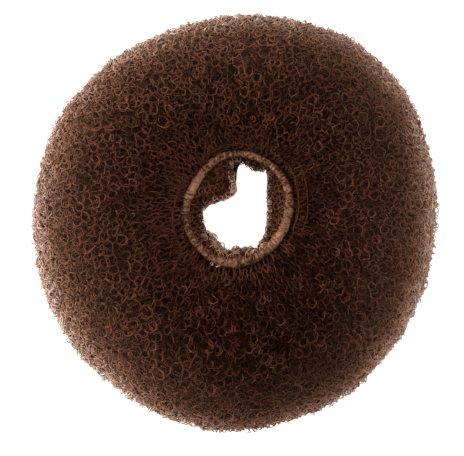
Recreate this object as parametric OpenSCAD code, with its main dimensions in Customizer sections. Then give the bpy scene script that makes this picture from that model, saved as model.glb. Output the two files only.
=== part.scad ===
// Hair donut bun maker: a net sleeve rolled up into a ring, with an elastic ring round the mouth of its hole.
// Millimetres. +Z is up out of the surface that it lies on, and the origin is on the axis of the hole at that surface.

/* [Overall] */

// Mean outside diameter of the roll, over the net.
outer_d = 94; // [76:0.5:130]
// Mean height of the roll's crest above the surface that it lies on.
height = 35; // [27:0.5:50]
// How much wider all round the hole's waist is than the elastic ring in its seat.
waist_room = 0.2; // [0.1:0.1:4]
// Width of the flattened ring that the roll rests on.
foot_w = 10; // [6:0.5:14]

/* [Outer turn] */

// Thickness of the outer turn of net.
cover_t = 1.5; // [1:0.1:2.5]
// How much of the measured unevenness of the outline and crest is used, as a share.
uneven_share = 1; // [0:0.05:1.5]
// Height of the small radial gathers where the net runs in to the elastic ring.
gather_h = 0.45; // [0:0.05:0.8]
// Number of gathers round the elastic ring.
gathers = 18; // [8:1:24]

/* [Wound core] */

// Thickness of one wound turn, which is several layers of the real net.
turn_t = 3; // [2:0.1:4]
// Gap between one turn and the next, and between the core and the outer turn.
turn_gap = 0.5; // [0.4:0.05:0.8]
// Number of turns wanted, as far as they fit round the hollow in the middle.
turns = 2.5; // [1:0.25:3]
// Least half width of the hollow that is left in the middle of the roll.
hollow_min = 2; // [1:0.25:4]

/* [Elastic ring] */

// Inside diameter of the elastic ring.
ring_d = 21.8; // [18:0.2:28]
// Radial width of the ring's band.
band_w = 2.1; // [1.2:0.1:3]
// Height of the ring's band.
band_h = 3; // [2:0.1:4]
// How far the top of the ring lies below the mean crest.
ring_sink = 7.5; // [4:0.25:12]

/* [Tucked end] */

// Thickness of the tucked end of the net.
tuck_t = 1; // [0.8:0.1:2]
// How far the tucked end reaches down the hole.
tuck_drop = 8; // [4:0.25:12]
// Share of the depth at which the folded tongue ends.
tongue_share = 0.45; // [0.2:0.05:0.8]
// Gap between pieces that touch in the real thing.
play = 0.3; // [0.2:0.05:0.5]

/* [Hidden] */

net_brown = "#5a3a2c";
core_brown = "#2c1811";
band_brown = "#83624f";
tuck_brown = "#45291f";

// Outline from above. Columns: reach as a share of half outer_d, crest as a share of height.
// One row each 10 degrees, from +X towards +Y.
OUTLINE = [
    [0.967, 1.000], [0.970, 0.996], [0.973, 0.990], [0.993, 0.987], [1.000, 0.992], [1.001, 1.004],
    [0.993, 1.014], [0.971, 1.018], [0.961, 1.012], [0.953, 1.002], [0.939, 0.994], [0.935, 0.990],
    [0.942, 0.994], [0.958, 1.004], [0.967, 1.012], [0.983, 1.010], [0.990, 0.998], [0.992, 0.984],
    [1.002, 0.976], [1.012, 0.975], [1.028, 0.982], [1.040, 0.992], [1.054, 1.000], [1.056, 1.004],
    [1.064, 1.008], [1.078, 1.014], [1.087, 1.022], [1.088, 1.026], [1.074, 1.022], [1.055, 1.010],
    [1.048, 0.998], [1.028, 0.992], [1.010, 0.994], [0.996, 1.002], [0.980, 1.008], [0.965, 1.006]
];
function reach_of(row) = row[0];
function crest_of(row) = row[1];

// Shallow dents and swells of the net. Columns: angle round the roll, angle round its section from the outside
// towards the crest, spread in degrees, depth as a share of height with swells below zero.
DENTS = [
    [20, 60, 26, 0.020], [64, 108, 20, -0.017], [98, 48, 24, 0.023], [142, 84, 26, 0.017],
    [176, 40, 22, -0.017], [205, 104, 24, 0.020], [236, 62, 26, -0.020], [262, 30, 22, 0.017],
    [288, 92, 26, 0.020], [330, 58, 28, -0.017], [50, -34, 26, 0.017], [165, -40, 26, 0.020],
    [285, -36, 28, 0.017]
];
function round_roll(row) = row[0];
function round_section(row) = row[1];
function spread_of(row) = row[2];
function depth_of(row) = row[3] * height;

// Edge of the tucked end. Column: distance from the axis as a share of the ring's inside radius.
// One row each 15 degrees, from +X towards +Y.
TUCK_EDGE = [
    0.570, 0.585, 0.680, 0.850, 0.880, 0.875, 0.915, 0.800, 0.760, 0.750, 0.745, 0.740,
    0.700, 0.730, 0.755, 0.760, 0.775, 0.790, 0.815, 0.780, 0.775, 0.790, 0.695, 0.640
];

// Tongue folded in from the edge. Columns: angle where it leaves the ring, then where it ends: across and along
// the hole as shares of the ring's inside radius.
TONGUE = [
    [97, -0.06, 0.66], [106, -0.03, 0.44], [116, -0.08, 0.31], [126, -0.20, 0.25], [136, -0.32, 0.20],
    [146, -0.44, 0.16], [156, -0.56, 0.11], [166, -0.67, 0.06]
];
function leaves_at(row) = row[0];
function across_of(row) = row[1] * ring_r;
function along_of(row) = row[2] * ring_r;

ring_r = ring_d / 2;
band_r = ring_r + band_w;
seat_r = band_r + play;
hole_r = seat_r + waist_room;
ring_top = height - ring_sink;
ring_foot = ring_top - band_h;
mid_z = height / 2;
half_w = (outer_d / 2 - hole_r) / 2;
// The lower half is a little deeper than it is high, so that the floor cuts a flat of the stated width.
sag = mid_z / sqrt(1 - pow(foot_w / 2 / half_w, 2));
core_inset = cover_t + turn_gap;
pitch = turn_t + turn_gap;
turns_fit = max(0.5, min(turns, floor((min(half_w * 0.95, mid_z) - core_inset - turn_t - hollow_min) / pitch * 12) / 12));

function mix(a, b, t) = a + (b - a) * t;
function ease(t) = let(c = max(0, min(1, t))) c * c * (3 - 2 * c);
function wrapped(i, n) = (i % n + n) % n;
function turned(a) = let(b = wrapped(a, 360)) b > 180 ? b - 360 : b;
function vsum(v, i = 0) = i < len(v) ? v[i] + vsum(v, i + 1) : 0;

// Smooth curve through the rows of a closed table, at angle a.
function curve(a, b, c, d, f) =
    0.5 * (2 * b + (c - a) * f + (2 * a - 5 * b + 4 * c - d) * f * f + (3 * b - 3 * c + d - a) * f * f * f);
function row_at(list, angle) =
    let(n = len(list), u = wrapped(angle, 360) * n / 360, i = floor(u), f = u - i)
    curve(list[wrapped(i - 1, n)], list[wrapped(i, n)], list[wrapped(i + 1, n)], list[wrapped(i + 2, n)], f);

reach_list = [for (r = OUTLINE) outer_d / 2 * (1 + uneven_share * (reach_of(r) - 1))];
crest_list = [for (r = OUTLINE) height * (1 + uneven_share * (crest_of(r) - 1))];

function dent(theta, phi) = uneven_share * vsum([for (d = DENTS)
    let(
        across = turned(theta - round_roll(d)) * 0.8,
        round_it = turned(phi - round_section(d)),
        far = (across * across + round_it * round_it) / pow(spread_of(d), 2)
    )
    far > 6 ? 0 : depth_of(d) * exp(-far)]);

// Point of the roll's section at angle theta round the hole and phi round the section, this far under its surface.
function section(theta, phi, inset) =
    let(
        reach = row_at(reach_list, theta),
        crest = row_at(crest_list, theta),
        under = inset + dent(theta, phi),
        a = (reach - hole_r) / 2,
        c = (reach + hole_r) / 2,
        up = sin(phi) > 0 ? crest - mid_z : sag
    )
    [c + (a - under) * cos(phi), max(inset > 0 ? inset : -sag, mid_z + (up - under) * sin(phi))];

// The net leaves the roll on the crest's inner side and runs down to the ring, with small gathers that stand up.
seat_top = ring_foot + band_h * 0.62;
function gather(theta, phi) = gather_h * ease((phi - 80) / 55) * (0.5 + 0.5 * sin(gathers * theta + 35 * sin(2 * theta)));

function spun(p, theta) = [p[0] * cos(theta), p[0] * sin(theta), p[1]];

// Closed loops of points, one after another round the axis, joined into one solid.
module sweep_loops(loops) {
    n = len(loops);
    m = len(loops[0]);
    points = [for (l = loops, p = l) p];
    faces = [for (i = [0:n - 1], j = [0:m - 1])
        let(a = i * m + j, b = i * m + (j + 1) % m, c = ((i + 1) % n) * m + (j + 1) % m, d = ((i + 1) % n) * m + j)
        each [[a, c, b], [a, d, c]]];
    polyhedron(points = points, faces = faces, convexity = 12);
}

// Outer turn: from its seat at the ring over the crest, round and under, and up the wall of the hole.
cover_steps = 72;
cover_end_angle = -200;
cover_out = [for (phi = [135:-15:-180]) phi];
cover_in = [for (phi = [-180:30:120]) phi];

// The inside is flat between every other loop, as the core's outside is, so that the gap between them stays even.
function inside(i, phi) =
    let(s = 360 / cover_steps)
    i % 2 == 0
        ? spun(section(i * s, phi, cover_t), i * s)
        : (inside(i - 1, phi) + inside(i + 1, phi)) / 2;

function cover_loop(i) =
    let(theta = i * 360 / cover_steps)
    [
        spun([seat_r, seat_top], theta),
        for (phi = cover_out) spun(section(theta, phi, 0) + [0, gather(theta, phi)], theta),
        spun(section(theta, cover_end_angle, 0), theta),
        spun(section(theta, cover_end_angle, cover_t), theta),
        for (phi = cover_in) inside(i, phi),
        spun([seat_r, seat_top - cover_t], theta)
    ];

module cover_turn() {
    color(net_brown)
    difference() {
        sweep_loops([for (i = [0:cover_steps - 1]) cover_loop(i)]);
        // The floor presses the roll flat.
        translate([-outer_d, -outer_d, -height])
        cube([outer_d * 2, outer_d * 2, height]);
    }
}

// Inner turns: a thick sheet wound inwards, which steps in by one turn on the hole's side of the section.
core_steps = 36;
core_rows = round(turns_fit * 12);
core_start_angle = -210;
function turn_inset(k) = core_inset + pitch * (floor(k / 12) + ease((k % 12 - 9) / 3));

function core_loop(theta) = [
    for (p = [
        for (k = [0:core_rows]) section(theta, core_start_angle - 30 * k, turn_inset(k)),
        for (k = [core_rows:-1:0]) section(theta, core_start_angle - 30 * k, turn_inset(k) + turn_t)
    ]) spun(p, theta)
];

module wound_core() {
    color(core_brown)
    sweep_loops([for (i = [0:core_steps - 1]) core_loop(i * 360 / core_steps)]);
}

// Elastic ring: a round band with its edges rounded off in two small slopes.
module elastic_ring() {
    e = min(band_w, band_h) * 0.2;
    f = e * 0.45;
    color(band_brown)
    rotate_extrude($fn = 120)
    polygon([
        [ring_r, ring_foot + e], [ring_r + f, ring_foot + f], [ring_r + e, ring_foot],
        [band_r - e, ring_foot], [band_r - f, ring_foot + f], [band_r, ring_foot + e],
        [band_r, ring_top - e], [band_r - f, ring_top - f], [band_r - e, ring_top],
        [ring_r + e, ring_top], [ring_r + f, ring_top - f], [ring_r, ring_top - e]
    ]);
}

// Tucked end: a funnel of net down from under the ring to its cut edge, with a tongue folded in.
tuck_steps = 48;
tuck_top = ring_foot - play;
tuck_r = ring_r + band_w * 0.3;
function funnel(theta, t) =
    let(edge = row_at(TUCK_EDGE, theta) * ring_r, bow = sin(180 * t) * tuck_t * 0.6)
    [mix(tuck_r, edge, pow(t, 1.15)) + bow, tuck_top - tuck_drop * t];
function tuck_loop(theta) =
    let(out = tuck_t)
    [for (p = [
        for (t = [0, 0.33, 0.67, 1]) funnel(theta, t) + [out, 0],
        for (t = [1, 0.67, 0.33, 0]) funnel(theta, t)
    ]) spun(p, theta)];

module funnel_part() {
    sweep_loops([for (i = [0:tuck_steps - 1]) tuck_loop(i * 360 / tuck_steps)]);
}

// The tongue is a bent sheet from the funnel's wall in to its own edge.
function tongue_point(row, t) =
    let(
        from = spun([tuck_r + tuck_t * 0.4, tuck_top - tuck_t * 0.5], leaves_at(row)),
        to = [across_of(row), along_of(row), tuck_top - tuck_drop * tongue_share]
    )
    mix(from, to, t) - [0, 0, tuck_drop * 0.12 * sin(180 * t)];

module tongue_part() {
    n = len(TONGUE);
    rows = 5;
    top = [for (r = TONGUE, k = [0:rows - 1]) tongue_point(r, k / (rows - 1))];
    points = concat(top, [for (p = top) p - [0, 0, tuck_t]]);
    low = len(top);
    faces = concat(
        [for (i = [0:n - 2], k = [0:rows - 2])
            let(a = i * rows + k, b = (i + 1) * rows + k)
            each [[a, b + 1, b], [a, a + 1, b + 1], [low + a, low + b, low + b + 1], [low + a, low + b + 1, low + a + 1]]],
        [for (i = [0:n - 2])
            let(a = i * rows, b = (i + 1) * rows, c = a + rows - 1, d = b + rows - 1)
            each [[a, low + b, low + a], [a, b, low + b], [c, low + d, d], [c, low + c, low + d]]],
        [for (k = [0:rows - 2])
            let(a = k, b = (n - 1) * rows + k)
            each [[a, low + a + 1, a + 1], [a, low + a, low + a + 1], [b, low + b + 1, low + b], [b, b + 1, low + b + 1]]]
    );
    polyhedron(points = points, faces = faces, convexity = 6);
}

module tucked_end() {
    color(tuck_brown)
    union() {
        funnel_part();
        tongue_part();
    }
}

cover_turn();
wound_core();
elastic_ring();
tucked_end();
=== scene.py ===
# Hair donut bun maker: a sleeve of brown nylon net rolled up into a ring, on a pale floor, seen from above.
# The net is real strands of yarn. Each turn of it lies a set depth under the surface of the CAD cover, which
# rays find.
import math
import bpy
import numpy as np
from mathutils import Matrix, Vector
from mathutils.bvhtree import BVHTree


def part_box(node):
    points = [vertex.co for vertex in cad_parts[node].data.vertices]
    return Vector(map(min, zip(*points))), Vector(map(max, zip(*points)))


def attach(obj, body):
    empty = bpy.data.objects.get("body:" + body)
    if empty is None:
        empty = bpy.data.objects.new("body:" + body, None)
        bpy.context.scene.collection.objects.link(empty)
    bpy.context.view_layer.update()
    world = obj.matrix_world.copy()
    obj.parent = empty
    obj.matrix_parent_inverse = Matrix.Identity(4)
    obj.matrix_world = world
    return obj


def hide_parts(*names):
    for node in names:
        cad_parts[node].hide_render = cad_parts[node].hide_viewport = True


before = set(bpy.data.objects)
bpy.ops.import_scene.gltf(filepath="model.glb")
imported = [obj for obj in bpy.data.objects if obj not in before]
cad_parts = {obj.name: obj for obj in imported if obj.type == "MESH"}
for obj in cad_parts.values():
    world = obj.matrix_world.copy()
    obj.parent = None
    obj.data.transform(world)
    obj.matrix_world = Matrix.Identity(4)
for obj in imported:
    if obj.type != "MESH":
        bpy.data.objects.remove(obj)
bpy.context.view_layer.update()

MM = 0.001

# Places that the pieces share, from the frame
RING_LO, RING_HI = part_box("elastic_ring")
BAND_W = 2.1 * MM  # width of the ring's band
BAND_R = RING_HI.x  # radius of the ring's outside
RING_R = BAND_R - BAND_W  # and of its inside
RING_MID_Z = (RING_LO.z + RING_HI.z) / 2
MIDDLE = 0.4885  # height of the tube's middle as a share of the roll's height
MID_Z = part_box("cover_turn")[1].z * MIDDLE

# The roll's surface, read by rays
N_THETA, N_PHI = 144, 177
# Degrees round the section: from the hole's wall, under and round the outside, to the seat at the ring
PHI_LOW, PHI_HIGH = -199.0, 150.5
FROM_OUTSIDE = 80 * MM  # rays at the roll's outside start this far from the axis
FROM_AXIS = 50 * MM  # rays from the axis at the hole's wall look this far
ROOM = 30 * MM  # rays at the rest of the section start this far from its middle,
OFF_AXIS = 0.8 * MM  # or, where they start in the hole, this far from the axis


def tree_of(obj):
    """The faces of an object, for rays."""
    faces = [tuple(face.vertices) for face in obj.data.polygons]
    return BVHTree.FromPolygons([vert.co.copy() for vert in obj.data.vertices], faces)


cover_tree = tree_of(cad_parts["cover_turn"])


def hit(start, towards, far):
    """How far a ray goes until it meets the cover, or None."""
    place, _, _, dist = cover_tree.ray_cast(Vector(start), Vector(towards), far)
    return None if place is None else dist


def softened(values, axis=1):
    """Each value mixed with its neighbours, in a closed loop of values."""
    return (np.roll(values, 1, axis) + 2 * values + np.roll(values, -1, axis)) / 4


def read_roll():
    """The tube's centre circle and its radius in each direction round its section."""
    thetas = np.arange(N_THETA) * 2 * math.pi / N_THETA
    phis = np.radians(np.linspace(PHI_LOW, PHI_HIGH, N_PHI))
    centre = np.zeros(N_THETA)
    radius = np.full((N_THETA, N_PHI), np.nan)
    for i, theta in enumerate(thetas):
        x, y = math.cos(theta), math.sin(theta)
        far_start = (x * FROM_OUTSIDE, y * FROM_OUTSIDE, MID_Z)
        outer_wall = FROM_OUTSIDE - hit(far_start, (-x, -y, 0), FROM_OUTSIDE)
        inner_wall = hit((0, 0, MID_Z), (x, y, 0), FROM_AXIS)
        centre[i] = (outer_wall + inner_wall) / 2
        for j, phi in enumerate(phis):
            out, up = math.cos(phi), math.sin(phi)
            room = min(ROOM, (centre[i] - OFF_AXIS) / max(-out, 1e-9))
            start = centre[i] + out * room
            dist = hit((start * x, start * y, MID_Z + up * room), (-out * x, -out * y, -up), room)
            if dist is not None:
                radius[i, j] = room - dist
    for row in radius:
        good = ~np.isnan(row)
        row[:] = np.interp(np.arange(N_PHI), np.flatnonzero(good), row[good])
    # the solid's flats are smoothed away
    for _ in range(2):
        radius = softened(radius, axis=0)
    for _ in range(3):
        pad = np.pad(radius, ((0, 0), (1, 1)), mode="edge")
        radius = (pad[:, :-2] + 2 * pad[:, 1:-1] + pad[:, 2:]) / 4
    return centre, radius


CENTRE, RADIUS = read_roll()


# Shapes and fields that the pieces share
def smooth(t):
    """An even step from 0 to 1 while t goes from 0 to 1."""
    t = np.clip(t, 0, 1)
    return t * t * (3 - 2 * t)


def circle(steps):
    """Angles of equal steps once round."""
    return np.linspace(0, 2 * math.pi, steps, endpoint=False)


def unit(vectors):
    """The vectors at a length of 1."""
    return vectors / np.maximum(np.linalg.norm(vectors, axis=-1, keepdims=True), 1e-9)


def spun(out, up, theta):
    """Points at a distance from the axis and a height, turned to theta."""
    return np.stack(np.broadcast_arrays(out * np.cos(theta), out * np.sin(theta), up), axis=-1)


def waves(rng, count, turns, per_length, size):
    """A smooth uneven field over angle and length: a list of (size, turns, per unit of length, phase)."""
    return [
        (
            size * rng.uniform(0.5, 1.0) / math.sqrt(count),
            int(rng.integers(turns[0], turns[1] + 1)) * rng.choice([-1, 1]),
            rng.uniform(*per_length) * 2 * math.pi,
            rng.uniform(0, 2 * math.pi),
        )
        for _ in range(count)
    ]


def field(list_of_waves, theta, length=0.0):
    """The sum of the waves at each place."""
    total = np.zeros(np.broadcast(theta, length).shape)
    for size, turns, per_length, phase in list_of_waves:
        total = total + size * np.sin(turns * theta + per_length * length + phase)
    return total


def round_table(values, theta):
    """A smooth curve along values that stand for equal steps round the axis, at theta."""
    parts = np.fft.rfft(np.array(values)) / len(values)
    stop = min(6, len(values) // 2)
    return parts[0].real + 2 * sum((parts[k] * np.exp(1j * k * theta)).real for k in range(1, stop))


def grid_faces(rows, columns, flip=False):
    """Faces of a grid of points that closes both ways round."""
    faces = []
    for i in range(rows):
        for j in range(columns):
            i2, j2 = (i + 1) % rows, (j + 1) % columns
            face = [i * columns + j, i2 * columns + j, i2 * columns + j2, i * columns + j2]
            faces.append([face[k] for k in (0, 3, 2, 1)] if flip else face)
    return faces


# Bumps of the net round the rim, and how the roll sags there
SCALLOPS = waves(np.random.default_rng(9), 14, (55, 115), (1.5, 4.5), 0.7 * MM)
SCALLOPS += [(0.27 * MM, 1, 0.0, 2.55), (0.24 * MM, 0, 0.0, math.pi / 2)]
OFF_FLOOR = 0.2 * MM  # the roll's surface is kept this far over the floor


def roll_at(theta, phi_deg, depth):
    """Distance from the axis and height of points this deep under the roll's surface."""
    place = np.mod(theta, 2 * math.pi) * N_THETA / (2 * math.pi)
    i = np.floor(place).astype(int)
    past_i = place - i
    i, i2 = i % N_THETA, (i + 1) % N_THETA
    place = (phi_deg - PHI_LOW) / (PHI_HIGH - PHI_LOW) * (N_PHI - 1)
    j = np.clip(np.floor(place).astype(int), 0, N_PHI - 2)
    past_j = place - j
    near = RADIUS[i, j] * (1 - past_i) + RADIUS[i2, j] * past_i
    far = RADIUS[i, j + 1] * (1 - past_i) + RADIUS[i2, j + 1] * past_i
    phi = np.radians(phi_deg)
    bumps = field(SCALLOPS, theta, phi) * np.clip(np.cos(phi), 0, 1) ** 2
    reach = near * (1 - past_j) + far * past_j - depth + bumps
    centre = CENTRE[i] * (1 - past_i) + CENTRE[i2] * past_i
    up = np.maximum(MID_Z + reach * np.sin(phi), OFF_FLOOR + np.maximum(depth, 0))
    return centre + reach * np.cos(phi), up


def arc_table(steps=400, sections=24):
    """Along the mean section, from the ring seat over the crest to the end up the hole.

    Returns the angle, the length so far and the distance from the axis at each step.
    """
    phis = np.linspace(PHI_HIGH, PHI_LOW, steps)
    out, up = np.mean([roll_at(np.full(steps, t), phis, 0.0) for t in circle(sections)], axis=0)
    return phis, np.concatenate([[0], np.cumsum(np.hypot(np.diff(out), np.diff(up)))]), out


ARC_PHI, ARC_LEN, ARC_OUT = arc_table()
TAIL = 2.4 * MM  # the net runs on by this much from the seat down the ring's outer side
LENGTH = TAIL + ARC_LEN[-1]


def phi_along(length):
    """The angle round the section, in degrees, this far along the net from its end at the ring."""
    return np.interp(length - TAIL, ARC_LEN, ARC_PHI)


def out_along(length):
    """The distance from the axis this far along the net."""
    return np.interp(length - TAIL, ARC_LEN, ARC_OUT)


# Painted backlight: the net is painted paler near its outline, where it is stretched thin and light shines
# through it from behind. Columns: millimetres inside the outline, share of the rim's colour.
RIM_BACKLIGHT = [
    (0, 1.3), (0.7, 1.15), (1.4, 0.93), (2.8, 0.82), (4.6, 0.56), (6.4, 0.3), (9.2, 0.16), (13, 0.09),
    (17, 0.05), (21, 0.02), (26, 0),
]
# How strong and how wide a band that painted backlight is, each 45 degrees from +X. Columns: how strongly, and
# how wide a band, as a share of the table's.
RIM_BACKLIGHT_ROUND = [
    (1.14, 1.0), (0.98, 1.1), (0.98, 0.93), (0.86, 1.12), (0.92, 1.2), (1.0, 1.25), (0.93, 0.62), (1.1, 0.93),
]
# The painted backlight is paler high on the roll than on its sides, as if lit from above.
PALE_FROM, PALE_OVER = 11 * MM, 10 * MM  # the paler colour comes in from this height, over this much more


def backlight_share(points):
    """How much of the rim's paler colour, a painted backlight, the yarn has, by how far inside the outline and
    how high it lies.
    """
    around = circle(120)
    sides = np.linspace(-40, 40, 17)  # the section's angles that can make the outline
    outline = np.max([roll_at(around, np.full(len(around), phi), 0.0)[0] for phi in sides], axis=0)
    theta = np.arctan2(points[:, 1], points[:, 0])
    inside = np.interp(theta, around, outline, period=2 * math.pi) - np.hypot(points[:, 0], points[:, 1])
    strength, width = (round_table(column, theta) for column in zip(*RIM_BACKLIGHT_ROUND))
    share = np.interp(inside / MM / width, *zip(*RIM_BACKLIGHT))
    up = smooth((points[:, 2] - PALE_FROM) / PALE_OVER)
    return np.clip(share * strength * (0.2 + 0.8 * up), 0, 1.5)


def depth_at(phi_deg, crest, rim, hole):
    """A turn's depth: at the crest and underneath, at the rim, and at the wall of the hole."""
    outward = np.cos(np.radians(phi_deg))
    at_rim, at_hole = np.clip(outward, 0, 1) ** 1.5, np.clip(-outward, 0, 1) ** 1.5
    return crest * (1 - at_rim - at_hole) + rim * at_rim + hole * at_hole


# The soft ring as it lies in the photograph. Columns: how far the middle of its band is off a true circle, and
# the band's width, both in millimetres. One row each 20 degrees, anticlockwise from +X.
RING_LIES = [
    (-0.4, 2.2), (0.1, 1.9), (0.35, 1.8), (0.45, 1.7), (0.55, 1.7), (0.5, 1.7), (0.1, 1.8), (-0.65, 2.0),
    (-0.6, 2.2), (0.0, 1.9), (0.4, 1.9), (0.4, 1.8), (0.62, 2.35), (0.55, 2.2), (0.05, 2.5), (-0.4, 2.3),
    (-0.7, 2.2), (-0.65, 2.3),
]
RING_OFF, BAND_WIDE = zip(*RING_LIES)


def ring_reach(theta, radius):
    """A distance from the axis that follows the ring as it lies."""
    return radius + round_table(RING_OFF, theta) * MM


RING_BEND = 10 * MM  # the net follows the ring over this length


def net_point(theta, length, depths, lift):
    """A point of the net this far along it from its end at the ring.

    depths are the turn's, for depth_at, and lift is how far out of the turn the point stands.
    """
    phi = phi_along(length)
    out, up = roll_at(theta, phi, depth_at(phi, *depths) - lift)
    out = out + ring_reach(theta, 0) * smooth(1 - (length - TAIL) / RING_BEND)
    share = smooth(length / TAIL)
    # the end that runs down beside the ring, deeper for the turns further in
    low_out = ring_reach(theta, BAND_R + 0.05 * MM) - 0.1 * MM * (1 - share)
    low_up = RING_HI.z - 0.8 * MM - depths[2] * 2.5
    return spun(low_out * (1 - share) + out * share, low_up * (1 - share) + up * share, theta)


# Strands and pieces
TUBE_SIDES = 3
# A tube's sides are set out from the first direction, or from the second where the yarn runs along the first.
ACROSS, ACROSS_TOO = np.array([0.31, 0.22, 0.92]), np.array([0.9, -0.4, 0.1])
TRIANGLES = {}


def tube_mesh(lines, radii, closed=False, tone=0.5):
    """Vertices, faces and tones of tubes along many lines at once. lines is (count, points, 3)."""
    n, m, _ = lines.shape
    if closed:
        ahead, behind = np.roll(lines, -1, 1), np.roll(lines, 1, 1)
    else:
        ahead = np.concatenate([lines[:, 1:], lines[:, -1:]], axis=1)
        behind = np.concatenate([lines[:, :1], lines[:, :-1]], axis=1)
    along = unit(ahead - behind)
    alike = np.abs(np.sum(along * ACROSS, axis=2, keepdims=True)) > 0.9
    side = unit(np.cross(along, np.where(alike, ACROSS_TOO, ACROSS)))
    up = np.cross(side, along)
    rings = []
    for k in range(TUBE_SIDES):
        turn = 2 * math.pi * k / TUBE_SIDES
        rings.append(lines + (side * math.cos(turn) + up * math.sin(turn)) * radii[..., None])
    verts = np.stack(rings, axis=2).reshape(-1, 3)  # line, point, side
    steps = np.arange(m if closed else m - 1)
    base = (np.arange(n)[:, None] * m + steps[None, :]) * TUBE_SIDES
    after = (np.arange(n)[:, None] * m + (steps[None, :] + 1) % m) * TUBE_SIDES
    faces = []
    for k in range(TUBE_SIDES):
        k2 = (k + 1) % TUBE_SIDES
        faces.append(np.stack([base + k, base + k2, after + k2, after + k], axis=-1).reshape(-1, 4))
    faces = np.concatenate(faces).tolist()
    if not closed:
        first = np.arange(n) * m * TUBE_SIDES
        last = first + (m - 1) * TUBE_SIDES
        order = np.arange(TUBE_SIDES)
        faces += (first[:, None] + order[::-1][None]).tolist() + (last[:, None] + order[None]).tolist()
    return verts, faces, np.repeat(np.broadcast_to(tone, (n, m)).reshape(-1), TUBE_SIDES)


def make_piece(name, parts, material, replaced=()):
    """One piece from parts of vertices, faces and tones. A tone of 0 is the darkest yarn and 1 the lightest."""
    verts, faces, tones, at = [], [], [], 0
    for part_verts, part_faces, tone in parts:
        verts.append(part_verts)
        faces += [[i + at for i in face] for face in part_faces]
        tones.append(np.broadcast_to(tone, len(part_verts)))
        at += len(part_verts)
    verts = np.concatenate(verts)
    mesh = bpy.data.meshes.new(name)
    mesh.from_pydata(verts.tolist(), [], faces)
    # The rim attribute carries the painted backlight.
    for attribute, values in (("tone", np.concatenate(tones)), ("rim", backlight_share(verts))):
        mesh.attributes.new(attribute, "FLOAT", "POINT").data.foreach_set("value", values.astype(np.float32))
    mesh.update()
    mesh.polygons.foreach_set("use_smooth", [True] * len(mesh.polygons))
    mesh.materials.append(material)
    obj = bpy.data.objects.new(name, mesh)
    bpy.context.scene.collection.objects.link(obj)
    if replaced:
        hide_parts(*replaced)
    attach(obj, "root")
    TRIANGLES[name] = sum(len(face.vertices) - 2 for face in mesh.polygons)
    return obj


# Materials
def srgb(r, g, b):
    """A colour given in 0 to 255, as Blender takes it."""
    def linear(c):
        return c / 12.92 if c <= 0.04045 else ((c + 0.055) / 1.055) ** 2.4
    return (linear(r / 255), linear(g / 255), linear(b / 255), 1.0)


GRAIN = 2600.0  # scale of the fine noise
BUMP_DEEP = 0.08 * MM


def net_material(name, dark, light, scale=260.0, rim=None):
    """Nylon yarn: two browns mixed by the yarn's tone with a broad and a fine noise, and a fine bump.

    scale is the broad noise's. rim is the colours, from deep to pale, of the painted backlight that the yarn
    turns to over the share that backlight_share gives.
    """
    material = bpy.data.materials.new(name)
    material.use_nodes = True
    tree = material.node_tree
    tree.nodes.clear()
    place = tree.nodes.new("ShaderNodeTexCoord").outputs["Object"]

    def noise(scale, detail):
        node = tree.nodes.new("ShaderNodeTexNoise")
        node.inputs["Scale"].default_value = scale
        node.inputs["Detail"].default_value = detail
        tree.links.new(place, node.inputs["Vector"])
        return node.outputs["Fac"]

    def attribute(attribute_name):
        node = tree.nodes.new("ShaderNodeAttribute")
        node.attribute_name = attribute_name
        return node.outputs["Fac"]

    def mixed(share, a, b):
        node = tree.nodes.new("ShaderNodeMix")
        node.data_type = "FLOAT"
        node.inputs[0].default_value = share
        tree.links.new(a, node.inputs[2])
        tree.links.new(b, node.inputs[3])
        return node.outputs[0]

    def ramp(amount, stops):
        node = tree.nodes.new("ShaderNodeValToRGB")
        elements = node.color_ramp.elements
        elements[0].position, elements[0].color = stops[0]
        elements[1].position, elements[1].color = stops[-1]
        for position, colour in stops[1:-1]:
            elements.new(position).color = colour
        tree.links.new(amount, node.inputs["Fac"])
        return node.outputs["Color"]

    grain = noise(GRAIN, 2.0)
    tone = mixed(0.4, mixed(0.55, noise(scale, 3.0), grain), attribute("tone"))
    colour = ramp(tone, [(0.36, dark), (0.64, light)])
    if rim:
        share = attribute("rim")
        pale_tone = tree.nodes.new("ShaderNodeMath")
        pale_tone.operation = "MULTIPLY"
        tree.links.new(share, pale_tone.inputs[0])
        tree.links.new(tone, pale_tone.inputs[1])
        tint = tree.nodes.new("ShaderNodeMix")
        tint.data_type = "RGBA"
        tree.links.new(share, tint.inputs["Factor"])
        tree.links.new(colour, tint.inputs["A"])
        tree.links.new(ramp(pale_tone.outputs["Value"], rim), tint.inputs["B"])
        colour = tint.outputs["Result"]
    bump = tree.nodes.new("ShaderNodeBump")
    bump.inputs["Strength"].default_value = 0.35
    bump.inputs["Distance"].default_value = BUMP_DEEP
    tree.links.new(grain, bump.inputs["Height"])
    bsdf = tree.nodes.new("ShaderNodeBsdfPrincipled")
    bsdf.inputs["Roughness"].default_value = 0.6
    bsdf.inputs["Specular IOR Level"].default_value = 0.0
    tree.links.new(colour, bsdf.inputs["Base Color"])
    tree.links.new(bump.outputs["Normal"], bsdf.inputs["Normal"])
    out = tree.nodes.new("ShaderNodeOutputMaterial")
    tree.links.new(bsdf.outputs["BSDF"], out.inputs["Surface"])
    return material


# The rim's painted backlight: pale browns that the net turns to near its outline. RIM_DEEP, for the turns
# further in, is paler still, painted light that lifts their shade.
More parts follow.
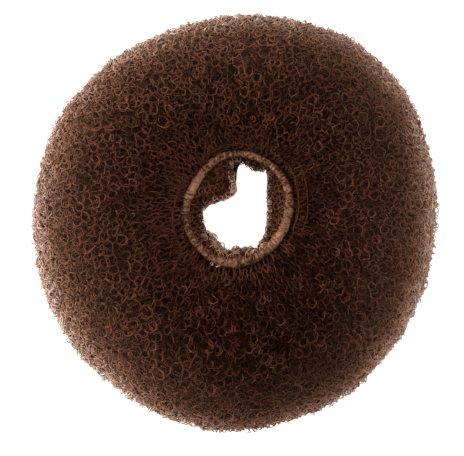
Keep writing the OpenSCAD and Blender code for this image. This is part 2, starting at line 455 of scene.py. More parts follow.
RIM = [
    (0.3, srgb(160, 114, 90)), (0.46, srgb(190, 154, 134)),
    (0.56, srgb(200, 168, 150)), (0.7, srgb(210, 184, 170)),
]
RIM_DEEP = [(0.3, srgb(172, 127, 104)), (0.5, srgb(196, 162, 144)), (0.7, srgb(224, 204, 192))]
M_OUTER = net_material("net_outer_nylon", srgb(40, 20, 13), srgb(96, 56, 41), rim=RIM)
# The rim curls' browns are lighter than the outer net's: painted light that lifts the shade between them.
M_RIM = net_material("net_rim_nylon", srgb(69, 40, 28), srgb(99, 63, 46), rim=RIM)
# Painted shade: the turns further in are the same nylon in darker browns, for the light that the turns over
# them keep off, and the core darker still.
M_INNER = net_material("net_inner_nylon", srgb(32, 15, 9), srgb(75, 42, 29), rim=RIM_DEEP)
M_CORE = net_material("net_core_nylon", srgb(39, 18, 11), srgb(57, 30, 20), scale=420.0, rim=RIM_DEEP)
M_BAND = net_material("elastic_band_yarn", srgb(64, 37, 25), srgb(166, 119, 92), scale=420.0)
# The tucked end's browns are lighter than the outer net's: painted light that lifts the shade deep in the hole.
M_END = net_material("net_end_nylon", srgb(59, 30, 19), srgb(136, 88, 63))
# The curls' pale end stands for painted highlights where the cut edge catches the light.
M_CURL = net_material("net_end_curl_nylon", srgb(76, 46, 34), srgb(232, 182, 154))
# Near-white yarn for painted glints.
M_GLINT = net_material("painted_glint_nylon", srgb(204, 170, 150), srgb(255, 238, 224))

# The net
COLUMNS = 84  # columns of cells round the outer turns
NEAR_RING = 9 * MM  # the rows are drawn out over this length from the ring
CELL_MOST = 2.0 * MM  # a cell's greatest width round the hole
LOOP_POINTS = 7
LOOP_SIZE = (0.78, 1.18)  # a loop's size as a share of its cell's
LOOP_LIFT = 0.16 * MM  # how far the loops stand out of their turn, more or less
LOOPS_KEPT = 0.92  # share of the loops that are drawn


def row_places(pitch, stretch):
    """Lengths at which the rows lie: further apart near the ring, where the net is pulled lengthways."""
    places = [0.0]
    while places[-1] < LENGTH:
        places.append(places[-1] + pitch * (1 + stretch * math.exp(-places[-1] / NEAR_RING)))
    return np.array(places) * LENGTH / places[-1]


def free_share(length):
    """How freely the net wanders: not at all at its end, where the ring holds it."""
    return smooth(length / (6 * MM))


def lift_share(length):
    """How much of its height the net's unevenness has: little beside the ring."""
    return np.clip(length / (7 * MM), 0.15, 1)


def net_paths(seed, columns, pitch, per_row):
    """Lines of yarn that meet their neighbours on either side in turn, row by row, which leaves rounded cells.

    Returns theta, length and lift of each point of each strand.
    """
    rng = np.random.default_rng(seed)
    places = row_places(pitch, 0.4)
    rows = len(places) - 1
    count = 2 * columns
    row = np.arange(rows * per_row + 1)[None, :] / per_row
    strand = np.arange(count)[:, None]
    beat = np.minimum(np.floor(row), rows - 1)
    snap = 1.5  # how suddenly a strand crosses from one link to the next
    lean = np.tanh(snap * np.cos(math.pi * (row - beat))) / math.tanh(snap)
    sign = np.where(np.mod(beat + strand, 2) < 0.5, 1.0, -1.0)
    later = (1 - lean) / 2

    def of_link(table, row_of_link, side_of_link):
        which = np.mod(strand + np.where(side_of_link > 0, 0, -1), count).astype(int)
        return table[which, row_of_link.astype(int) * np.ones_like(which)]

    def mixed(table):
        """A value that belongs to a link, so that both strands in it share it, between two links."""
        return of_link(table, beat, sign) * (1 - later) + of_link(table, beat + 1, -sign) * later

    def wander(theta, length, wide_size):
        """How far the strands stray, in wide and in small waves."""
        wide = waves(rng, 8, (4, 16), (20, 90), wide_size)
        small = waves(rng, 14, (16, 50), (80, 220), 0.42 * MM)
        return (field(wide, theta, length) + field(small, theta, length)) * free_share(length)

    loose = 0.22  # how far the links are off their places, in cells
    shape = (count, rows + 2)
    hold = mixed(np.where(rng.random(shape) < 0.1, 0.3, 1.0))  # one link in ten is left open
    side = mixed(rng.normal(0, loose, shape))
    ahead = mixed(rng.normal(0, loose * 0.8, shape))
    rise = mixed(rng.normal(0, 1.0, shape))
    length = np.interp(row + ahead, np.arange(rows + 1), places) * np.ones((count, 1))
    theta = (strand + 0.5 + 0.5 * sign * lean * hold + side) * math.pi / columns
    theta = theta + wander(theta, length, 0.8 * MM) / out_along(length)
    length = np.clip(length + wander(theta, length, 1.0 * MM), 0, LENGTH)
    bumps = waves(rng, 14, (18, 60), (60, 260), 0.3 * MM)
    lift = (field(bumps, theta, length) + rise * 0.14 * MM) * lift_share(length)
    return theta, length, lift


def yarn(rng, paths, depths, radius, crimp, stop):
    """One crimped filament along each strand, as far as stop, a share of the strand's length."""
    theta, length, lift = paths
    n, m = theta.shape
    phase = rng.uniform(0, 2 * math.pi, (n, 1)) + np.cumsum(rng.normal(0, 0.45, (n, m)), axis=1)
    turn = 2 * math.pi * length / (1.2 * MM) + phase
    size = crimp * rng.uniform(0.6, 1.3, (n, 1))
    theta = theta + (size * np.sin(turn) + rng.normal(0, crimp * 0.35, (n, m))) / out_along(length)
    lift = lift + size * np.cos(turn) + rng.normal(0, crimp * 0.35, (n, m))
    points = net_point(theta, length, depths, lift)
    thick = radius * rng.uniform(0.8, 1.25, (n, 1)) * rng.uniform(0.88, 1.12, (n, m))
    drawn = int(stop * (m - 1)) + 1
    return tube_mesh(points[:, :drawn], thick[:, :drawn], tone=rng.uniform(0.3, 0.7, (n, 1)))


def cell_places(rng, row_step, stop=1.0):
    """Places of the net's cells, row by row, each row half a cell on.

    Returns theta, length, half width, half length and row of each cell.
    """
    rows = row_places(row_step, 0.35)
    uneven = 0.32  # how far the cells are off their places, in cells
    found = []
    for k in range(1, len(rows) - 1):
        if rows[k] >= stop * LENGTH:
            break
        out = float(out_along(rows[k]))
        n = int(round(2 * math.pi * out / min(2 * math.pi * out / COLUMNS, CELL_MOST)))
        theta = (np.arange(n) + 0.5 * (k % 2) + rng.normal(0, uneven, n)) * 2 * math.pi / n
        step = (rows[k + 1] - rows[k - 1]) / 2
        length = rows[k] + rng.normal(0, uneven, n) * step
        sizes = (np.full(n, math.pi * out / n), np.full(n, step * 0.6))
        found.append(np.stack([theta, length, *sizes, np.full(n, k)]))
    found = np.concatenate(found, axis=1)
    found[1] += field(waves(rng, 10, (4, 30), (20, 160), 0.8 * MM), found[0], found[1]) * free_share(found[1])
    return found


def cell_reach(places):
    """How far each cell reaches each way round until it meets a neighbour, in its half widths and lengths."""
    theta, length, wide, long, row = places
    out = out_along(length)
    turn = circle(16)[None, :] + np.zeros((len(theta), 1))
    reach = np.empty(turn.shape)
    for k in np.unique(row):
        mine, near = np.flatnonzero(row == k)[:, None], np.flatnonzero(np.abs(row - k) <= 2)[None, :]
        across = (theta[near] - theta[mine] + math.pi) % (2 * math.pi) - math.pi
        across, along = across * out[mine] / wide[mine], (length[near] - length[mine]) / long[mine]
        half = np.where(mine == near, 1e9, np.hypot(across, along) / 2)
        facing = np.cos(turn[mine[:, 0]][:, :, None] - np.arctan2(along, across)[:, None, :])
        gap = np.where(facing > 0.1, half[:, None, :] / np.maximum(facing, 0.1), 1e9)
        reach[mine[:, 0]] = np.min(gap, axis=2)
    return np.minimum(reach, 1.5)


BUMPS = waves(np.random.default_rng(4), 14, (18, 60), (60, 260), 0.26 * MM)
# Lighter and darker stretches of the net
MOTTLE = waves(np.random.default_rng(8), 14, (6, 26), (25, 110), 0.28)
# What is added to the net's tone each 45 degrees from +X. Columns: everywhere, and down beside the ring.
NET_TONE = [
    (-0.24, -0.22), (-0.08, -0.18), (0.0, 0.2), (0.16, 0.28), (0.15, 0.12), (0.12, 0.05), (-0.32, 0.1),
    (-0.34, -0.12),
]


def cell_tone(rng, theta, length, up, shade):
    """The tone at each point of the cells' loops, by its place on the net and by chance. Loops that stand
    higher are painted a little lighter, as if better lit, and the net near the ring is painted lighter to lift
    the shade of the dip that the ring lies in.
    """
    noise = rng.normal(0, 0.32, up.shape)
    # painted light: loops that stand higher are a little lighter
    noise = 0.06 * up / LOOP_LIFT + rng.normal(0, 0.08, theta.shape) + (noise + np.roll(noise, 1, 1)) / 2
    everywhere, beside_ring = (round_table(column, theta) for column in zip(*NET_TONE))
    tone = 0.5 + shade * everywhere + beside_ring * smooth(1 - (length - TAIL) / (14 * MM))
    # painted light: lifts the shade in the dip beside the ring
    tone = tone + 0.3 * smooth(1 - (length - TAIL) / (4 * MM))
    tone = np.clip(tone, 0.08, 0.92)
    return np.clip(tone + (field(MOTTLE, theta, length) + noise) * np.clip(1.7 * tone, 0.3, 1), 0, 1)


def cell_rings(rng, places, reach, depths, radius, plies=1, tilt=0.3, at_rim=1.0, shade=0.5, closed=True):
    """Loops of yarn round each cell, up against its neighbours, tilted and out of shape.

    plies is how many loops a cell has, at_rim the share of them kept at the rim, and shade how much of
    NET_TONE's first column the yarn takes on. A loop that isn't closed lacks one of its sides.
    """
    places, reach = np.tile(places, plies), np.tile(reach, (plies, 1))
    n, ways = reach.shape
    turn = circle(LOOP_POINTS)[None, :] + rng.uniform(0, 2 * math.pi, (n, 1))
    at = turn / (2 * math.pi) * ways
    low = np.floor(at).astype(int)
    cell = np.arange(n)[:, None]
    shape = reach[cell, low % ways] * (1 - at + low) + reach[cell, (low + 1) % ways] * (at - low)
    shape = softened(shape) * rng.uniform(*LOOP_SIZE, (n, 1)) + rng.normal(0, 0.2, (n, LOOP_POINTS))
    outward = np.cos(np.radians(phi_along(places[1])))
    kept = rng.random(n) < LOOPS_KEPT * (1 - (1 - at_rim) * smooth((outward - 0.35) / 0.4))
    places, shape, turn = places[:, kept], shape[kept], turn[kept]
    theta, length, wide, long, _ = (v[:, None] for v in places)
    n = len(theta)
    across, along = wide * np.cos(turn) * shape, long * np.sin(turn) * shape
    up = field(BUMPS, theta, length) + rng.normal(0, LOOP_LIFT * 0.6, (n, 1))
    up = up + rng.normal(0, LOOP_LIFT * 0.8, (n, LOOP_POINTS))
    up = up + across * rng.normal(0, tilt, (n, 1)) + along * rng.normal(0, tilt, (n, 1))
    up = up * lift_share(length) * (1 - 0.5 * smooth(outward[kept][:, None] / 0.8))
    lines = net_point(theta + across / out_along(length), np.clip(length + along, 0, LENGTH), depths, up)
    thick = radius * rng.uniform(0.8, 1.25, (n, 1)) * rng.uniform(0.45, 1.55, (n, LOOP_POINTS))
    tone = cell_tone(rng, theta, length, up, shade)
    drawn = LOOP_POINTS if closed else LOOP_POINTS - 1
    return tube_mesh(lines[:, :drawn], thick[:, :drawn], closed, tone[:, :drawn])


def curls(rng, count, points, phis, depths, size, radius):
    """Small loops of yarn turned every way.

    phis is the section's angles: from, where most of them lie, and to.
    """
    theta = rng.uniform(0, 2 * math.pi, (count, 1))
    phi = rng.triangular(*phis, (count, 1))
    out, up = roll_at(theta, phi, rng.uniform(*depths, (count, 1)))
    turn = circle(points)[None, :, None]
    a = unit(rng.normal(0, 1, (count, 1, 3)))
    b = unit(np.cross(a, rng.normal(0, 1, (count, 1, 3))))
    reach = rng.uniform(*size, (count, 1, 1)) * (1 + rng.normal(0, 0.16, (count, points, 1)))
    loop = a * np.cos(turn) + b * np.sin(turn) * rng.uniform(0.6, 1.0, (count, 1, 1))
    lines = spun(out, up, theta) + loop * reach
    lines[..., 2] = np.maximum(lines[..., 2], radius * 1.3)
    thick = np.full((count, points), radius) * rng.uniform(0.8, 1.25, (count, 1))
    return tube_mesh(lines, thick, closed=True, tone=np.clip(rng.normal(0.5, 0.2, (count, 1)), 0, 1))


# Turns of net. Depths: at the crest and underneath, at the rim, at the wall of the hole.
OUTER = (0.1 * MM, 0.4 * MM, 0.1 * MM)
SECOND = (0.65 * MM, 0.9 * MM, 0.3 * MM)
THIRD = (1.1 * MM, 1.4 * MM, 0.5 * MM)
CORE = (1.8 * MM, 2.0 * MM, 0.7 * MM)
OUTER_YARN = 0.115 * MM  # radius of the outer turn's yarn where it can be seen from above
OPEN_PLIES = {"plies": 3, "closed": False}  # and how its cells' loops are there
SEEN = 0.62  # share of the net's length that can be seen from above
INNER = 0.3  # share of the net's length that the outer turn's first piece takes
# Loose yarn at the rim, in the outer turn and behind it
CURLS = {"phis": (-44, 12, 74), "depths": (0.3 * MM, 1.6 * MM), "size": (0.3 * MM, 0.68 * MM)}
CURLS_BEHIND = {"phis": (-44, 12, 66), "depths": (0.9 * MM, 2.4 * MM), "size": (0.5 * MM, 1.1 * MM)}

net_rng = np.random.default_rng(101)
cells = cell_places(net_rng, row_step=1.75 * MM)
reach = cell_reach(cells)
inner, seen = cells[1] < INNER * LENGTH, cells[1] < SEEN * LENGTH
rim_side = seen & ~inner
outer = make_piece(
    "outer_turn_net",
    [cell_rings(net_rng, cells[:, inner], reach[inner], OUTER, OUTER_YARN, **OPEN_PLIES)],
    M_OUTER, ["cover_turn"],
)
make_piece(
    "outer_turn_net_rim",
    [cell_rings(net_rng, cells[:, rim_side], reach[rim_side], OUTER, OUTER_YARN, at_rim=0.35, **OPEN_PLIES)],
    M_OUTER,
)
make_piece(
    "outer_turn_net_below", [cell_rings(net_rng, cells[:, ~seen], reach[~seen], OUTER, 0.16 * MM)],
    M_OUTER,
)
make_piece("rim_curls", [curls(net_rng, 5000, 6, radius=0.08 * MM, **CURLS)], M_RIM)
make_piece("rim_curls_behind", [curls(net_rng, 4600, 5, radius=0.13 * MM, **CURLS_BEHIND)], M_RIM)
cells = cell_places(net_rng, row_step=1.9 * MM, stop=SEEN)
make_piece(
    "second_turn_net",
    [cell_rings(net_rng, cells, cell_reach(cells), SECOND, 0.17 * MM, tilt=0.4, shade=1.0)],
    M_INNER,
)
make_piece(
    "third_turn_net",
    [yarn(net_rng, net_paths(37, 70, 1.7 * MM, 2), THIRD, radius=0.18 * MM, crimp=0.12 * MM, stop=SEEN)],
    M_INNER, ["wound_core"],
)


def hem_lines():
    """Yarns that run round the hole where the net meets the elastic ring, packed under it and against it."""
    rng = np.random.default_rng(17)
    lines, points = 16, 200
    start, wide = BAND_R - 0.5 * MM, 1.7 * MM
    low, high = RING_LO.z + 0.2 * MM, 0.7 * MM
    theta = circle(points)[None, :] * np.ones((lines, 1))
    share = (np.arange(lines) / (lines - 1))[:, None]
    wander = field(waves(rng, 12, (6, 40), (0, 1), 0.25 * MM), theta + share * 5)
    out = ring_reach(theta, start + wide * share) + wander
    up = low + high * np.mod(share * 5.3, 1) + rng.normal(0, 0.08 * MM, (lines, points))
    return tube_mesh(spun(out, up, theta), np.full((lines, points), 0.15 * MM), closed=True)


# Folds of the net beside the ring: angle from, angle to, millimetres up the net from the ring, yarns
FOLDS = [(-42, 58, 0.7, 2), (-24, 46, 3.4, 1), (150, 216, 0.9, 2), (82, 118, 1.0, 2)]


def fold_lines():
    """Yarns along the folds, on the net's surface."""
    rng = np.random.default_rng(29)
    parts = []
    for start, end, length, count in FOLDS:
        theta = np.radians(np.linspace(start, end, int((end - start) * 0.8)))[None, :] * np.ones((count, 1))
        apart = (np.arange(count) - (count - 1) / 2)[:, None] * 0.28 * MM
        sway = field(waves(rng, 8, (5, 34), (0, 1), 0.2 * MM), theta + apart / MM)
        fade = np.sin(np.linspace(0, math.pi, theta.shape[1]))[None, :] ** 0.5
        lines = net_point(theta, TAIL + length * MM + apart + sway, OUTER, 0.25 * MM * fade)
        parts.append(tube_mesh(lines, 0.16 * MM * fade + 0 * theta, tone=0.7))
    return parts


make_piece("hem_yarns", [hem_lines()] + fold_lines(), M_OUTER)


def core_roll():
    """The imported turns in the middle, as one closed uneven roll."""
    n, m = 180, 60
    lumps = waves(np.random.default_rng(5), 18, (20, 70), (80, 300), 0.3 * MM)
    theta = circle(n)[:, None] * np.ones((1, m))
    phi = np.ones((n, 1)) * np.linspace(PHI_LOW, PHI_HIGH, m)[None, :]
    length = np.interp(-phi, -ARC_PHI, ARC_LEN)
    out, up = roll_at(theta, phi, depth_at(phi, *CORE) - field(lumps, theta, length))
    return spun(out, up, theta).reshape(-1, 3), grid_faces(n, m), 0.5


# The core's darker browns are painted shade, deep under the turns over it.
core = make_piece("inner_turns", [core_roll()], M_CORE, ["wound_core"])

# The elastic ring
THREAD_R = 0.16 * MM
BAND_HALF_HIGH = (RING_HI.z - RING_LO.z) / 2
# Places where the ring's yarn catches the light. Columns: angle, spread in degrees, how much lighter.
PALE_PATCHES = [(152, 18, 0.52), (322, 16, 0.44), (352, 20, 0.16), (90, 24, 0.14), (262, 20, 0.12)]


def band_point(theta, turn, extra):
    """A point of the band: turn is the angle round its section, and extra is out of its surface."""
    half = round_table(BAND_WIDE, theta) * MM / 2 - THREAD_R
    across, high = np.cos(turn), np.sin(turn)
    across = np.sign(across) * np.abs(across) ** 0.75 * (half + extra)
    high = np.sign(high) * np.abs(high) ** 0.75 * (BAND_HALF_HIGH * 0.9 + extra)
    sway = 0.2 * MM * np.sin(3 * theta + 1.1)
    return spun(ring_reach(theta, (BAND_R + RING_R) / 2) + across, RING_MID_Z + high + sway, theta)


def band():
    """The bound elastic: a soft rounded band wrapped over and over with thread."""
    rng = np.random.default_rng(3)
    lumps = waves(rng, 10, (7, 34), (0, 1), 0.1 * MM)
    mottle = waves(rng, 12, (20, 100), (0, 1), 0.16)

    def tone_of(theta, noise):
        tone = 0.27 + noise + field(mottle, theta)
        for angle, spread, more in PALE_PATCHES:
            off = (np.degrees(theta) - angle + 180) % 360 - 180
            tone = tone + more * np.exp(-(off / spread) ** 2)
        return np.clip(tone, 0, 1)

    n, m = 200, 14
    theta, turn = np.meshgrid(circle(n), circle(m), indexing="ij")
    points = band_point(theta, turn, field(lumps, theta) + 0.05 * MM)
    tone = tone_of(theta, rng.normal(0, 0.22, (n, m)))
    parts = [(points.reshape(-1, 3), grid_faces(n, m), tone.reshape(-1))]

    wraps, k = 300, 12
    start = (np.arange(wraps) + rng.uniform(-0.4, 0.4, wraps)) * 2 * math.pi / wraps
    tilt = rng.normal(0.03, 0.03, wraps)
    turn = circle(k)[None]
    theta = start[:, None] + tilt[:, None] * np.sin(turn) + rng.normal(0, 0.012, (wraps, k))
    extra = field(lumps, theta) + rng.uniform(-0.07, 0.04, (wraps, 1)) * MM
    extra = extra + rng.normal(0, 0.04 * MM, (wraps, k))
    lines = band_point(theta, turn + 0 * theta, extra)
    thick = np.full((wraps, k), THREAD_R) * rng.uniform(0.85, 1.15, (wraps, 1))
    tone = tone_of(theta, rng.normal(0, 0.1, (wraps, 1)) + rng.normal(0, 0.26, (wraps, k)))
    parts.append(tube_mesh(lines, thick, closed=True, tone=tone))
    return parts


make_piece("elastic_band", band(), M_BAND, ["elastic_ring"])

# The tucked end. Its cut edge as seen from above, in millimetres across and along from the hole's axis,
# anticlockwise from +X. The tongue is the stretch from the notch at the top to the left side.
OPENING = [
    (6.9, 0.5), (6.9, 3.2), (7.0, 7.5), (6.5, 8.8), (3.9, 8.9), (1.4, 10.7), (-0.95, 10.8), (-1.0, 8.2),
    (-0.3, 4.8), (-1.0, 3.4), (-3.4, 2.0), (-4.8, 1.8), (-7.3, 0.7), (-8.5, -0.7), (-8.2, -2.7), (-7.5, -5.1),
    (-5.9, -6.2), (-4.7, -7.9), (-2.5, -9.9), (-0.7, -9.3), (2.8, -9.1), (4.5, -9.3), (5.2, -7.4), (6.4, -6.2),
    (7.0, -2.6),
]
# Stretches of it, between two of its rows
WHOLE_EDGE, LOWER_RIM, TONGUE_SIDE, TONGUE_TIP = (0, len(OPENING)), (15, 22), (7, 9), (9, 12)
TUCK_TOP = RING_LO.z + 0.3 * MM
TUCK_DROP = 8 * MM
TONGUE = (94.5, 172.0)  # from this angle to this one the end is folded in as a tongue, higher than the rest
TONGUE_EASE = (3, 14)  # degrees over which it comes up, and goes down again
TONGUE_DROP = 3.6 * MM
END_SWEEP = 1.15  # over 1, so that the end stays near the wall at first and then turns in to its edge
# The tone of the tucked end's yarn and of the curls along its edge, each 30 degrees from +X. Partly painted
# light: the tones are raised where the end lies deep in the hole's shade, at the right for both, and at the
# bottom for the end's yarn.
END_TONE = [0.85, 0.6, 0.42, 0.4, 0.4, 0.42, 0.55, 0.65, 0.9, 0.9, 0.9, 0.9]
CURL_TONE = [1.0, 0.65, 0.4, 0.35, 0.3, 0.45, 0.5, 0.6, 0.25, 0.35, 0.25, 0.9]
HALF_DEGREES = np.arange(720) / 2


def opening_table():
    """The cut edge's distance from the axis at each half degree."""
    corners = np.array(OPENING + OPENING[:1]) * MM
    sides = [np.linspace(a, b, 40, endpoint=False) for a, b in zip(corners[:-1], corners[1:])]
    x, y = np.concatenate(sides).T
    angle = np.degrees(np.arctan2(y, x)) % 360
    order = np.argsort(angle)
    return np.interp(HALF_DEGREES, angle[order], np.hypot(x, y)[order], period=360)


EDGE = opening_table()


def edge_at(theta):
    """The cut edge's distance from the axis."""
    return np.interp(np.degrees(theta) % 360, HALF_DEGREES, EDGE, period=360)


def drop_at(theta):
    """How deep the cut edge lies under the end's top."""
    deg = np.degrees(theta) % 360
    inside = smooth((deg - TONGUE[0]) / TONGUE_EASE[0]) * smooth((TONGUE[1] - deg) / TONGUE_EASE[1])
    return TUCK_DROP * (1 - inside) + TONGUE_DROP * inside


def end_start(theta):
    """Where the end comes out from under the ring."""
    return ring_reach(theta, RING_R + 0.5 * MM)


def end_at(theta, t, off):
    """A point of the tucked end: t is 0 under the ring and 1 at the cut edge, off is up out of the net."""
    start = end_start(theta)
    out = start + (edge_at(theta) - start) * np.clip(t, 0, 1.3) ** END_SWEEP
    up = TUCK_TOP - drop_at(theta) * np.clip(t, 0, 1.2) ** 0.9
    return spun(out - off * 0.8, up + off * 0.5, theta)


def on_end(x, y, off):
    """The point of the tucked end that is seen at x, y from above, and off out of the net."""
    theta, out = np.arctan2(y, x), np.hypot(x, y)
    start = end_start(theta)
    t = np.clip((start - out) / (start - edge_at(theta)), 0, 1) ** (1 / END_SWEEP)
    return end_at(theta, t, off)


def end_cells(seed, pitch, off, radius):
    """Net of the tucked end: cells spread over it as seen from above, each a loop up against its neighbours."""
    rng = np.random.default_rng(seed)
    places = []
    for x, y in rng.uniform(-RING_R - MM, RING_R + MM, (9000, 2)):
        theta, out = math.atan2(y, x), math.hypot(x, y)
        if edge_at(theta) + 0.2 * MM < out < ring_reach(theta, RING_R + 0.6 * MM):
            if all((x - a) ** 2 + (y - b) ** 2 > (0.8 * pitch) ** 2 for a, b in places):
                places.append((x, y))
    x, y = np.array(places).T[:, :, None]
    turn = circle(9)[None, :] + rng.uniform(0, 1, x.shape)
    half = np.where(x == x.T, 1.0, np.hypot(x.T - x, y.T - y) / 2)
    facing = np.cos(turn[:, :, None] - np.arctan2(y.T - y, x.T - x)[:, None, :])
    reach = np.min(np.where(facing > 0.1, half[:, None, :] / np.maximum(facing, 0.1), 1.0), axis=2)
    reach = softened(np.minimum(reach, 0.8 * pitch))
    reach = reach * (rng.uniform(0.85, 1.1, x.shape) + rng.normal(0, 0.1, turn.shape))
    tone = round_table(END_TONE, np.arctan2(y, x))
    off = off + rng.normal(0, 0.2 * MM, turn.shape)
    lines = on_end(x + reach * np.cos(turn), y + reach * np.sin(turn), off)
    tone = np.clip(tone + rng.normal(0, 0.1, x.shape) + rng.normal(0, 0.15, turn.shape), 0, 1)
    return tube_mesh(lines, radius * rng.uniform(0.75, 1.25, turn.shape), closed=True, tone=tone)


def edge_loops(seed, count, back, radius, size, tone, rows):
    """Curls of yarn along the cut edge between two rows of OPENING, back millimetres behind it."""
    rng = np.random.default_rng(seed)
    points = 9
    corners = np.array(OPENING + OPENING[:1])[rows[0]:rows[1] + 1]
    sides = np.diff(corners, axis=0)
    steps = np.concatenate([[0], np.cumsum(np.hypot(*sides.T))])
    at = rng.uniform(0, steps[-1], count)
    side = sides[np.searchsorted(steps, at, side="right") - 1]
    behind = np.stack([side[:, 1], -side[:, 0]]) / np.hypot(*side.T) * rng.uniform(*back, count)
    x = (np.interp(at, steps, corners[:, 0]) + behind[0]) * MM
    y = (np.interp(at, steps, corners[:, 1]) + behind[1]) * MM
    turn = circle(points)[None, :] + np.zeros((count, 1))
    tilt = rng.uniform(-0.9, 0.9, (count, 1))
    loop = np.stack([np.cos(turn), np.sin(turn), np.sin(turn + at[:, None]) * tilt], axis=-1)
    loop = loop * rng.uniform(0.75, 1.25, (count, points, 1)) * rng.uniform(*size, (count, 1, 1)) * MM
    lines = on_end(x, y, 0.3 * MM)[:, None, :] + loop
    tone = np.clip(rng.normal(round_table(tone, np.arctan2(y, x)[:, None]), 0.2, (count, 1)), 0, 1)
    return tube_mesh(lines, np.full((count, points), radius), closed=True, tone=tone)


def end_sheet():
    """The dense layers of the tucked end, behind its net."""
    rng = np.random.default_rng(71)
    n, m = 240, 8
    theta = circle(n)[:, None] * np.ones((1, m))
    cut = 1.015 + rng.normal(0, 0.012, (n, 1))
    t = cut * np.linspace(0, 1, m)[None]
    front, back = end_at(theta, t, -0.1 * MM), end_at(theta, t, -0.7 * MM)
    # it runs on out under the ring to the net
    around = theta[:, :1]
    under = ring_reach(around, BAND_R + 2.8 * MM)
    front = np.concatenate([spun(under, RING_LO.z + 0.1 * MM, around), front], axis=1)
    back = np.concatenate([spun(under, RING_LO.z - 0.6 * MM, around), back], axis=1)
    verts = np.concatenate([front, back[:, ::-1]], axis=1)
    return verts.reshape(-1, 3), grid_faces(n, 2 * m + 2, flip=True), 0.5


make_piece(
    "tucked_end_net",
    [
        end_cells(61, pitch=1.5 * MM, off=0.3 * MM, radius=0.14 * MM),
        end_cells(67, pitch=1.3 * MM, off=-0.05 * MM, radius=0.13 * MM),
    ],
    M_END, ["tucked_end"],
)
# Curls along the cut edge. Columns: seed, count, how far behind the edge in millimetres, radius of the yarn,
# size of the curls in millimetres, tone, stretch of OPENING. The pale rows, toned 0.7 and more, are painted
# highlights where the edge catches the light.
EDGE_CURLS = [
    (73, 170, (0.3, 0.8), 0.1 * MM, (0.25, 0.5), CURL_TONE, WHOLE_EDGE),
    (79, 36, (0.6, 2.2), 0.1 * MM, (0.4, 0.75), [0.2], WHOLE_EDGE),
    (83, 76, (0.2, 1.9), 0.12 * MM, (0.45, 0.8), [0.85], LOWER_RIM),
    (89, 14, (0.4, 1.1), 0.1 * MM, (0.45, 0.75), [0.9], TONGUE_SIDE),
    (97, 15, (0.35, 0.9), 0.1 * MM, (0.4, 0.65), [0.7], TONGUE_TIP),
]
make_piece("tucked_end_curls", [edge_loops(*row) for row in EDGE_CURLS], M_CURL)
# The end's layers take the core's darker browns: painted shade.
make_piece("tucked_end_layers", [end_sheet()], M_CORE)

# Painted glints: small loops of near-white yarn where the net catches the light. Columns: millimetres across
# and along from the hole's axis, size.
BRIGHT = [
    (-5.6, -7.8, 0.26), (-3.9, -8.5, 0.22), (-2.6, -9.5, 0.22), (-1.0, -9.7, 0.3), (-0.9, -10.5, 0.22),
    (0.25, -10.0, 0.26), (1.8, -10.0, 0.24), (-3.4, -10.5, 0.2), (-1.45, 6.3, 0.24), (-1.35, 3.9, 0.3),
    (7.3, 1.7, 0.26), (-6.0, -12.55, 0.32), (-4.75, -12.95, 0.26),
]
BRIGHT_UP = 1.3 * MM  # above the tucked end
BRIGHT_OUT = 0.7 * MM  # out of the net beside the ring


def glint_loops():
    """The painted glints of BRIGHT, on the tucked end or on the net beside the ring."""
    rng = np.random.default_rng(103)
    points = 7
    turn = circle(points)
    lines = []
    for x, y, size in BRIGHT:
        out, theta = math.hypot(x, y) * MM, math.atan2(y, x)
        if out < RING_R:
            place = on_end(x * MM, y * MM, 0) + [0, 0, BRIGHT_UP]
        else:
            along = net_point(theta, np.linspace(0, TAIL + 6 * MM, 80), OUTER, BRIGHT_OUT)
            place = along[np.argmin(np.abs(np.hypot(along[:, 0], along[:, 1]) - out))]
        high = rng.uniform(0.6, 1) * np.sin(turn)
        loop = np.stack([np.cos(turn), high, 0.9 * np.sin(turn + rng.uniform(0, 6))], axis=-1)
        lines.append(place + loop * size * MM * rng.uniform(0.75, 1.25, (points, 1)))
    lines = np.array(lines)
    return tube_mesh(lines, np.full(lines.shape[:2], 0.13 * MM), closed=True, tone=0.4)


make_piece("painted_glints", [glint_loops()], M_GLINT)

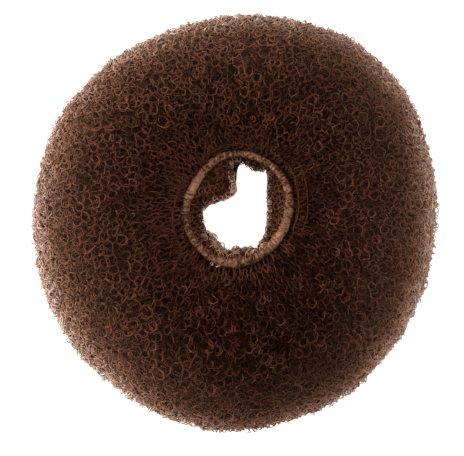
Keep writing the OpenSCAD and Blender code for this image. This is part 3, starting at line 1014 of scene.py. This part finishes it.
# Floor: it gives off light of its own, so that the roll's shadow on it stays faint
FLOOR_HALF = 3
CORNERS = [(x * FLOOR_HALF, y * FLOOR_HALF, 0) for x, y in ((-1, -1), (1, -1), (1, 1), (-1, 1))]
floor_mesh = bpy.data.meshes.new("floor")
floor_mesh.from_pydata(CORNERS, [], [(0, 1, 2, 3)])
floor = bpy.data.objects.new("floor", floor_mesh)
bpy.context.scene.collection.objects.link(floor)
floor_material = bpy.data.materials.new("pale_floor")
floor_material.use_nodes = True
floor_bsdf = floor_material.node_tree.nodes["Principled BSDF"]
floor_bsdf.inputs["Base Color"].default_value = (0.5, 0.5, 0.5, 1)
floor_bsdf.inputs["Roughness"].default_value = 0.9
floor_bsdf.inputs["Specular IOR Level"].default_value = 0.0
floor_bsdf.inputs["Emission Color"].default_value = (1, 1, 1, 1)
floor_bsdf.inputs["Emission Strength"].default_value = 0.95
floor_mesh.materials.append(floor_material)

# Light: white all round, and one soft lamp low on the left
world = bpy.data.worlds.new("studio")
world.use_nodes = True
background = world.node_tree.nodes["Background"]
background.inputs["Color"].default_value = (1, 1, 1, 1)
background.inputs["Strength"].default_value = 1.05
bpy.context.scene.world = world

LAMP_PLACE = Vector((-0.95, 0.12, 0.3))
LAMP_AIM = Vector((0, 0, 0.02))
lamp_data = bpy.data.lights.new("key", "AREA")
lamp_data.shape = "DISK"
lamp_data.size = 0.5
lamp_data.energy = 12.0
lamp = bpy.data.objects.new("key", lamp_data)
lamp.location = LAMP_PLACE
lamp.rotation_euler = (LAMP_AIM - LAMP_PLACE).to_track_quat("-Z", "Y").to_euler()
bpy.context.scene.collection.objects.link(lamp)

# Camera: straight down, at the photograph's scale
PHOTO_WIDE = 464  # pixels
PIXEL = 0.23 * MM
OVER_X, OVER_Y = -1.38 * MM, -4.42 * MM  # the place that the middle of the photograph shows
TRUE_Z = 17.5 * MM  # and the height at which its scale is true
DISTANCE = 0.62
SENSOR = 36.0
camera_data = bpy.data.cameras.new("camera")
camera_data.sensor_width = SENSOR
camera_data.lens = SENSOR * DISTANCE / (PHOTO_WIDE * PIXEL)
camera_data.clip_start = 0.01
camera = bpy.data.objects.new("camera", camera_data)
camera.location = (OVER_X, OVER_Y, TRUE_Z + DISTANCE)
camera.rotation_euler = (0, 0, 0)
bpy.context.scene.collection.objects.link(camera)
bpy.context.scene.camera = camera
bpy.context.scene.view_settings.view_transform = "Standard"
bpy.context.scene.view_settings.look = "None"

print("triangles", TRIANGLES, sum(TRIANGLES.values()))
